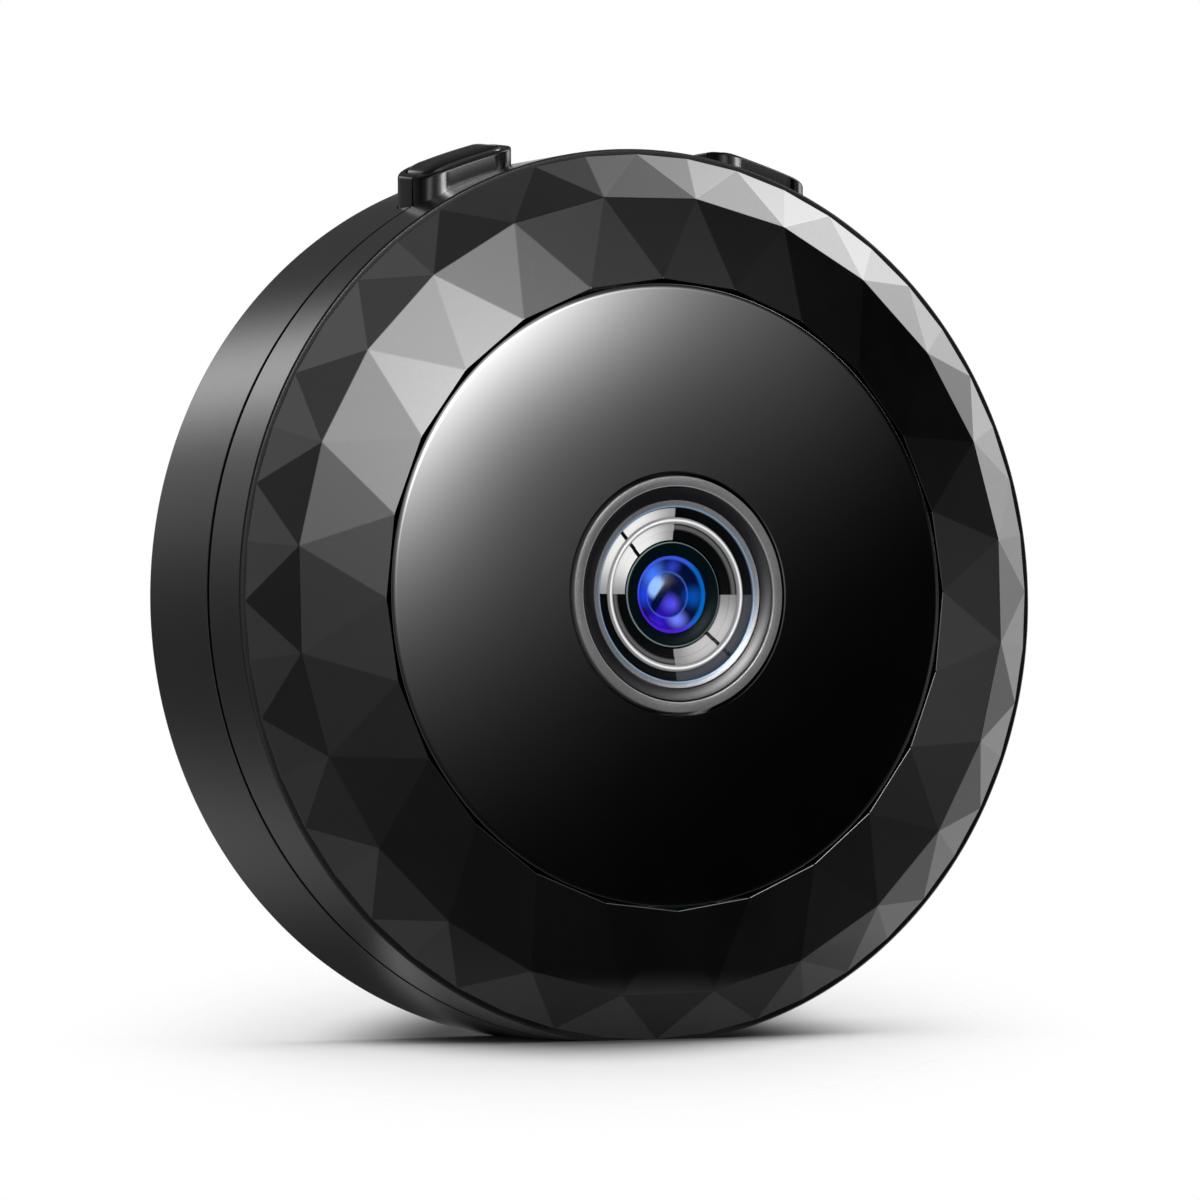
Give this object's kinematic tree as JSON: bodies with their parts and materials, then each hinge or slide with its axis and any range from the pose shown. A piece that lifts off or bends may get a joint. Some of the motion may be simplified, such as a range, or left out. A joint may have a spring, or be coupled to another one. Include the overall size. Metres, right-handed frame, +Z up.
{
  "type": "mini security camera",
  "caption": "Coin-shaped mini security camera on its rim, with a faceted bezel, a domed black window, a ringed lens and two push buttons on top.",
  "frame": {"origin": "middle of the footprint: under the barrel's axis, on the standing flat, halfway between the trim ring's front and the flat back", "axes": "+Z up, +Y from the lens to the back, so the camera looks along -Y; +X is the side with the sockets"},
  "size_m": [0.045, 0.0142, 0.0452],
  "materials": {
    "shell_black": "satin graphite black",
    "bezel_black": "semi-gloss black facets",
    "window_black": "piano black, infrared-clear",
    "adhesive": "matt",
    "pad_rubber": "matt",
    "magnet_nickel": "nickel plated",
    "screw_steel": "blackened",
    "trim_grey": "satin grey anodised",
    "cone_black": "gloss black",
    "bright_metal": "polished",
    "dial_metal": "polished and blackened in quarters",
    "lens_black": "black anodised",
    "coated_glass": "blue-violet coating",
    "clear_glass": "coated",
    "filter_glass": "infrared filter",
    "holder_black": "matt",
    "plunger_white": "matt",
    "sensor": "glass-topped package",
    "circuit_board": "solder mask",
    "ribbon_amber": "polyimide",
    "chip_black": "moulded",
    "can_steel": "tinned",
    "antenna_ceramic": "ceramic",
    "capacitor_tan": "ceramic",
    "led_white": "moulded",
    "shield_foam": "foam",
    "pin_gold": "gold plated",
    "battery_foil": "laminated foil pouch",
    "lead_red": "insulated"
  },
  "bodies": {
    "camera_body": {"front_ring": "shell_black", "rear_housing": "shell_black", "faceted_bezel": "bezel_black", "front_window": "window_black", "window_adhesive": "adhesive", "rear_pad": "pad_rubber", "magnet": "magnet_nickel", "case_screws": "screw_steel", "lens_trim_ring": "trim_grey", "lens_cone": "cone_black", "lens_lip": "bright_metal", "bead_ring": "bright_metal", "dial_ring": "dial_metal", "lens_barrel": "lens_black", "lens_spacer_front": "lens_black", "lens_spacer_rear": "lens_black", "lens_retaining_ring": "lens_black", "front_lens": "coated_glass", "second_lens": "clear_glass", "third_lens": "clear_glass", "rear_lens": "clear_glass", "ir_cut_filter": "filter_glass", "lens_holder": "holder_black", "ribbon_connector": "holder_black", "link_header": "holder_black", "battery_connector": "holder_black", "left_switch_body": "holder_black", "right_switch_body": "holder_black", "reset_switch_body": "holder_black", "usb_tongue": "holder_black", "card_base": "holder_black", "image_sensor": "sensor", "main_board": "circuit_board", "led_board": "circuit_board", "camera_board": "circuit_board", "camera_ribbon": "ribbon_amber", "processor": "chip_black", "flash_chip": "chip_black", "power_chip": "chip_black", "wifi_module": "can_steel", "crystal": "can_steel", "microphone": "can_steel", "usb_shell": "can_steel", "card_shell": "can_steel", "antenna": "antenna_ceramic", "board_capacitors": "capacitor_tan", "ir_leds": "led_white", "status_leds": "led_white", "light_sensor": "led_white", "light_shield": "shield_foam", "battery_foam": "shield_foam", "link_pins": "pin_gold", "battery": "battery_foil", "battery_leads": "lead_red"},
    "left_button": {"left_button_cap": "shell_black", "left_switch_plunger": "plunger_white"},
    "right_button": {"right_button_cap": "shell_black", "right_switch_plunger": "plunger_white"},
    "reset_button": {"reset_plunger": "plunger_white"}
  },
  "joints": [
    {"name": "left_button_press", "type": "slide", "parent": "camera_body", "child": "left_button", "axis": [0, 0, -1], "range_m": [0, 0.0003], "stiffness_N_per_m": 2000},
    {"name": "right_button_press", "type": "slide", "parent": "camera_body", "child": "right_button", "axis": [0, 0, -1], "range_m": [0, 0.0003], "stiffness_N_per_m": 2000},
    {"name": "reset_button_press", "type": "slide", "parent": "camera_body", "child": "reset_button", "axis": [-0.7431, 0, -0.6691], "range_m": [0, 0.00025], "stiffness_N_per_m": 2000}
  ]
}
